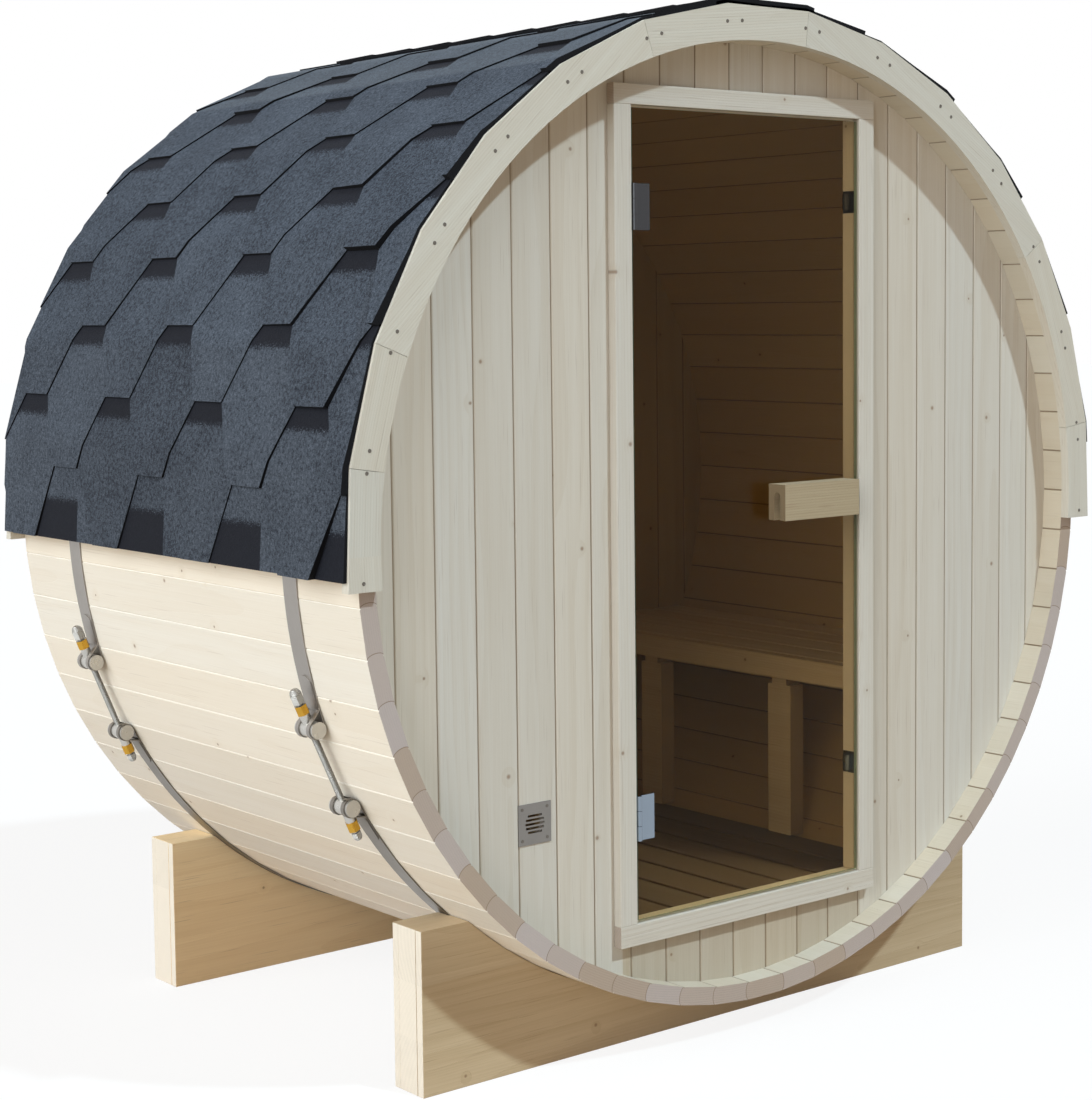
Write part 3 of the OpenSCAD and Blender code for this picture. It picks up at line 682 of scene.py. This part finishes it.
def roof_radius(angle):
    """Distance of the roof's flats from the barrel's axis at an angle above the horizontal."""
    flat = math.radians(FLAT_DEG)
    first = math.radians(FIRST_CORNER_DEG) + flat / 2
    middle = first + flat * round((angle - first) / flat)
    return ROOF_R * math.cos(flat / 2) / math.cos(angle - middle)


def roof_levels():
    """Heights up the roof at which the tabs bend: the corners of the flats, and steps between."""
    steps_per_course = 6
    step = COURSE / steps_per_course
    corners = [(math.radians(FIRST_CORNER_DEG + k * FLAT_DEG) - EAVES_ANGLE) * UNROLL_R
               for k in range(CORNER_COUNT)]
    steps = [k * step for k in range(-1, int(2 * RIDGE_T / step))]
    return sorted(corners + [t for t in steps if all(abs(t - c) > step / 4 for c in corners)])


def no_patch(s, t):
    """The whole piece lies outside the dark patch."""
    return -1.0


class Tabs:
    """Shingle tabs as closed wedges on the roof's flats. Side is -1 on the left, 1 on the right."""

    levels = roof_levels()

    def __init__(self, side):
        self.side = side
        self.points = []
        self.faces = []
        self.marks = {"tab_number": [], "fuzzy": [], "crisp": []}

    def on_roof(self, s, t, height):
        angle = EAVES_ANGLE + t / UNROLL_R
        radius = roof_radius(angle) + height
        return (self.side * radius * math.cos(angle), self.side * s,
                AXIS_Z + radius * math.sin(angle))

    def add(self, outline, top, number, fuzzy=no_patch, crisp=no_patch):
        """Top gives the height at a point, fuzzy and crisp how far it lies inside the patch.

        The tab is built in bands up the roof. Edges that only one band has get the side walls.
        """
        found = {}
        open_edges = {}

        def corner(point):
            key = tuple(round(c, 6) for c in point)
            if key not in found:
                found[key] = len(self.points)
                for height in (top(*point), UNDERSIDE):
                    self.points.append(self.on_roof(*point, height))
                    self.marks["tab_number"].append(number)
                    self.marks["fuzzy"].append(fuzzy(*point))
                    self.marks["crisp"].append(crisp(*point))
            return found[key]

        for low, high in zip(self.levels, self.levels[1:]):
            ring = list(dict.fromkeys(corner(p) for p in cut_to(outline, 1, low, high)))
            if len(ring) < 3:
                continue
            self.faces.append(ring)
            self.faces.append([i + 1 for i in reversed(ring)])
            for a, b in zip(ring, ring[1:] + ring[:1]):
                if (b, a) in open_edges:
                    del open_edges[(b, a)]
                else:
                    open_edges[(a, b)] = True
        for a, b in open_edges:
            self.faces.append([a, a + 1, b + 1, b])

    def piece(self, name, material):
        made = new_object(name, self.points, self.faces, material)
        for mark, values in self.marks.items():
            made.data.attributes.new(mark, "FLOAT", "POINT").data.foreach_set("value", values)
        made.data.shade_smooth()
        made.data.set_sharp_from_angle(angle=math.radians(30))
        return made


def hexagon(centre, foot_t):
    """Outline of a tab. Its head tucks a little way under its neighbours."""
    shoulder_t = foot_t + COURSE
    top_t = foot_t + 2 * COURSE + TAB_TUCK
    return [(centre - TAB_FOOT, foot_t), (centre + TAB_FOOT, foot_t),
            (centre + TAB_SHOULDER, shoulder_t), (centre + TAB_FOOT + TAB_TUCK, top_t),
            (centre - TAB_FOOT - TAB_TUCK, top_t), (centre - TAB_SHOULDER, shoulder_t)]


def underlay(low_s, high_s):
    """Outline of the felt under the tabs, a little inside their edges."""
    inset = 0.001
    return [(low_s + inset, inset), (high_s - inset, inset),
            (high_s - inset, RIDGE_T), (low_s + inset, RIDGE_T)]


def tab_top(foot_t, front_s, lift, curl):
    """Height of a tab over the deck. It is thick at its foot, where it also lifts a little."""
    def top(s, t):
        share = (t - foot_t) / (2 * COURSE)
        by_front = math.sqrt(max(0.0, 1 - abs(s - front_s) / FRONT_CURL_W))
        raised = (lift + curl * by_front) * max(0.0, 1 - 2 * share)
        return UNDERLAY + LAYER * (3 - 2 * share) + raised

    return top


def tab_patch(centre, foot_t, is_starter):
    """How far a point lies inside the dark patch: from its frayed edge and its straight side."""
    def fuzzy(s, t):
        up = t - foot_t
        return STARTER_PATCH - up if is_starter else up - (2 * COURSE - PATCH_H)

    def crisp(s, t):
        slant = 0.0 if is_starter else PATCH_SLANT * (foot_t + 2 * COURSE - t)
        return centre + TAB_FOOT + slant - s

    return fuzzy, crisp


def shingle_side(side, name, chance, material):
    """Courses of tabs from the eaves to the ridge. The one below 0 is the starter at the eaves."""
    front_s = (FRONT_Y - SHINGLE_OVER) * side
    rear_s = (REAR_Y + SHINGLE_OVER) * side
    low_s, high_s = sorted((front_s, rear_s))
    tabs = Tabs(side)
    tabs.add(underlay(low_s, high_s), lambda s, t: UNDERLAY, 0)
    number = 0
    for course in range(-1, math.ceil(RIDGE_T / COURSE)):
        foot_t = course * COURSE
        first = FIRST_COLUMN_Y + (TAB_PITCH / 2 if course % 2 else 0.0)
        curl_h = CURL_H if side < 0 and course < CURLED_COURSES else SLIGHT_CURL_H
        for column in COLUMNS:
            number += 1
            lift = max(0.0, chance.uniform(*LIFT_RANGE))
            curl = chance.uniform(*CURL_RANGE) * curl_h
            centre = (first + column * TAB_PITCH) * side + chance.uniform(-SIDE_SLIP, SIDE_SLIP)
            slip = chance.uniform(-FOOT_SLIP, FOOT_SLIP)
            outline = hexagon(centre, foot_t + slip * (course > 0))
            outline = cut_to(cut_to(outline, 0, low_s, high_s), 1, 0.0, RIDGE_T)
            if len(outline) >= 3:
                tabs.add(outline, tab_top(foot_t, front_s, lift, curl), number,
                         *tab_patch(centre, foot_t, is_starter=course < 0))
    piece = tabs.piece(name, material)
    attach(piece, "sauna")
    return piece


def ridge_caps(chance, material):
    """Plain caps bent over the ridge, each lapping the one behind it."""
    tabs = Tabs(1)
    front_s = FRONT_Y - SHINGLE_OVER
    rear_s = REAR_Y + SHINGLE_OVER
    for k in range(math.ceil((rear_s - front_s) / COURSE)):
        start = front_s + k * COURSE
        stop = min(start + CAP_COURSES * COURSE, rear_s)
        skew = chance.uniform(-SIDE_SLIP, SIDE_SLIP)
        low_t, high_t = RIDGE_T - CAP_HALF_W + skew, RIDGE_T + CAP_HALF_W + skew
        outline = [(start, low_t), (stop, low_t), (stop, high_t), (start, high_t)]

        def top(s, t, start=start):
            return UNDERLAY + LAYER * (CAP_LAYERS - (s - start) / COURSE)

        tabs.add(outline, top, FIRST_CAP_NUMBER + k)
    piece = tabs.piece("ridge_caps", material)
    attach(piece, "sauna")


def shingles():
    chance = random.Random(11)
    material = shingle_paint()
    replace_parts(shingle_side(-1, "shingle_tabs_left", chance, material), "shingles_left")
    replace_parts(shingle_side(1, "shingle_tabs_right", chance, material), "shingles_right")
    ridge_caps(chance, material)


# Radius and height of the rings of a screw's head, from its rim to the bottom of its recess
SCREW_PROFILE = ((0.0036, 0.0), (0.0033, 0.0008), (0.0018, 0.0009), (0.0012, 0.0002))
SCREW_SIDES = 12


def screws(name, places, facing, material, scale=1.0):
    """Screw heads joined into one piece. Facing is -1 for the front and 1 for the rear."""
    turns = [2 * math.pi * k / SCREW_SIDES for k in range(SCREW_SIDES)]
    points = []
    faces = []
    for place in places:
        rings = []
        for radius, height in SCREW_PROFILE:
            rings.append([len(points) + k for k in range(SCREW_SIDES)])
            points += [(place[0] + facing * radius * scale * math.cos(a),
                        place[1] + facing * height * scale,
                        place[2] - radius * scale * math.sin(a)) for a in turns]
        for low, high in zip(rings, rings[1:]):
            for k in range(SCREW_SIDES):
                n = (k + 1) % SCREW_SIDES
                faces.append([low[n], low[k], high[k], high[n]])
        faces.append(rings[0])
        faces.append(list(reversed(rings[-1])))
    made = new_object(name, points, faces, material)
    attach(made, "sauna")


def gable_screws(material):
    """Pairs of screws at each corner of the gable boards, and one at each end."""
    screw_r = 0.95
    pair_deg = (0.3, -2.0)
    end_drop = 0.045
    angles = [math.radians(FIRST_CORNER_DEG + k * FLAT_DEG + offset)
              for k in range(CORNER_COUNT) for offset in pair_deg]
    for name, y, facing in (("gable_screws_front", GABLE_FACE_Y, -1),
                            ("gable_screws_rear", GABLE_BACK_Y, 1)):
        places = [(screw_r * math.cos(a), y, AXIS_Z + screw_r * math.sin(a)) for a in angles]
        places += [(way * screw_r, y, AXIS_Z - end_drop) for way in (-1, 1)]
        screws(name, places, facing, material)


def vent_screws(material):
    inset = 0.009
    low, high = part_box("vent_plate")
    corners = [(x, low.y, z) for x in (low.x + inset, high.x - inset)
               for z in (low.z + inset, high.z - inset)]
    screws("vent_screws", corners, -1, material, scale=0.9)


def all_screws():
    material = steel_paint("screw_steel", srgb(118, 112, 104), 0.35, "x")
    gable_screws(material)
    vent_screws(material)


def light_path_colour(tree, seen, unseen):
    """Seen where the camera, metal or glass looks at it, and unseen for all other light."""
    path = tree.nodes.new("ShaderNodeLightPath")
    total = path.outputs["Is Camera Ray"]
    for name in ("Is Glossy Ray", "Is Transmission Ray"):
        larger = tree.nodes.new("ShaderNodeMath")
        larger.operation = "MAXIMUM"
        tree.links.new(total, larger.inputs[0])
        tree.links.new(path.outputs[name], larger.inputs[1])
        total = larger.outputs[0]
    mix = tree.nodes.new("ShaderNodeMix")
    mix.data_type = "RGBA"
    tree.links.new(total, mix.inputs[MIX_AMOUNT])
    mix.inputs[MIX_FIRST].default_value = unseen
    mix.inputs[MIX_SECOND].default_value = seen
    return mix.outputs[MIX_RESULT]


def surroundings():
    """White where it is seen, with a dimmer and warmer fill."""
    fill = (0.21, 0.18, 0.155, 1.0)
    world = bpy.data.worlds.new("white_surroundings")
    bpy.context.scene.world = world
    world.use_nodes = True
    background = world.node_tree.nodes["Background"]
    world.node_tree.links.new(light_path_colour(world.node_tree, WHITE, fill),
                              background.inputs["Color"])


def sun(name, travel, strength, spread_deg, colour):
    lamp = bpy.data.lights.new(name, "SUN")
    lamp.energy = strength
    lamp.angle = math.radians(spread_deg)
    lamp.color = colour
    made = bpy.data.objects.new(name, lamp)
    made.rotation_mode = "QUATERNION"
    made.rotation_quaternion = Vector(travel).to_track_quat("-Z", "Y")
    bpy.context.scene.collection.objects.link(made)


def studio():
    """White surroundings, a key light from the upper front right and a broad one from the left."""
    surroundings()
    sun("key", (-0.19, 0.575, -0.795), strength=2.2, spread_deg=2.5, colour=(0.7, 0.89, 1.0))
    sun("side", (1.0, 0.07, -0.28), strength=3.7, spread_deg=70.0, colour=(0.9, 0.97, 1.0))


def floor():
    """A pale floor that is nearly white where it is seen. Other light meets it as plain ground."""
    reach = 40.0
    ground = (0.48, 0.36, 0.25, 1.0)
    glow, no_glow = (0.86, 0.86, 0.86, 1.0), (0.0, 0.0, 0.0, 1.0)
    paint = Paint("pale_floor")
    plain = paint.node("ShaderNodeBsdfDiffuse")
    paint.feed(plain.inputs["Color"], light_path_colour(paint.tree, WHITE, ground))
    white = paint.node("ShaderNodeEmission")
    white.inputs["Color"].default_value = WHITE
    share = light_path_colour(paint.tree, glow, no_glow)
    paint.close(paint.mix_shader(share, plain.outputs[0], white.outputs[0]))
    corners = [(-reach, -reach, 0.0), (reach, -reach, 0.0), (reach, reach, 0.0),
               (-reach, reach, 0.0)]
    made = new_object("floor", corners, [(0, 1, 2, 3)], paint.material)


def camera():
    """The photograph's view: place, direction, focal length and the small shift of its crop."""
    place = Vector((-3.0466, -3.7526, 1.4303))
    yaw, pitch, roll = (math.radians(a) for a in (39.51, -4.89, -0.61))
    image_w, image_h = 1092, 1100
    focal_px = 2246.5
    principal_px = (577.9, 500.7)
    forward = Vector((math.sin(yaw) * math.cos(pitch), math.cos(yaw) * math.cos(pitch),
                      math.sin(pitch)))
    level = forward.cross(Vector((0, 0, 1))).normalized()
    right = level * math.cos(roll) + level.cross(forward) * math.sin(roll)
    up = right.cross(forward)
    data = bpy.data.cameras.new("camera")
    data.sensor_width = 36.0
    data.lens = focal_px * data.sensor_width / image_h
    data.shift_x = (image_w / 2 - principal_px[0]) / image_h
    data.shift_y = (principal_px[1] - image_h / 2) / image_h
    data.clip_end = 200.0
    made = bpy.data.objects.new("camera", data)
    turn = Matrix((right, up, -forward)).transposed().to_4x4()
    made.matrix_world = Matrix.Translation(place) @ turn
    bpy.context.scene.collection.objects.link(made)
    bpy.context.scene.camera = made


bpy.context.scene.view_settings.view_transform = "Standard"
camera()
studio()
floor()
dress_shell()
dress_doorway()
dress_room()
dress_steel()
soften(0.0015, "casing_left", "casing_right", "casing_head", "casing_sill", "cradle_front",
       "cradle_rear", "door_handle", "floor_slats", "bench_seat", "bench_frame")
shingles()
all_screws()
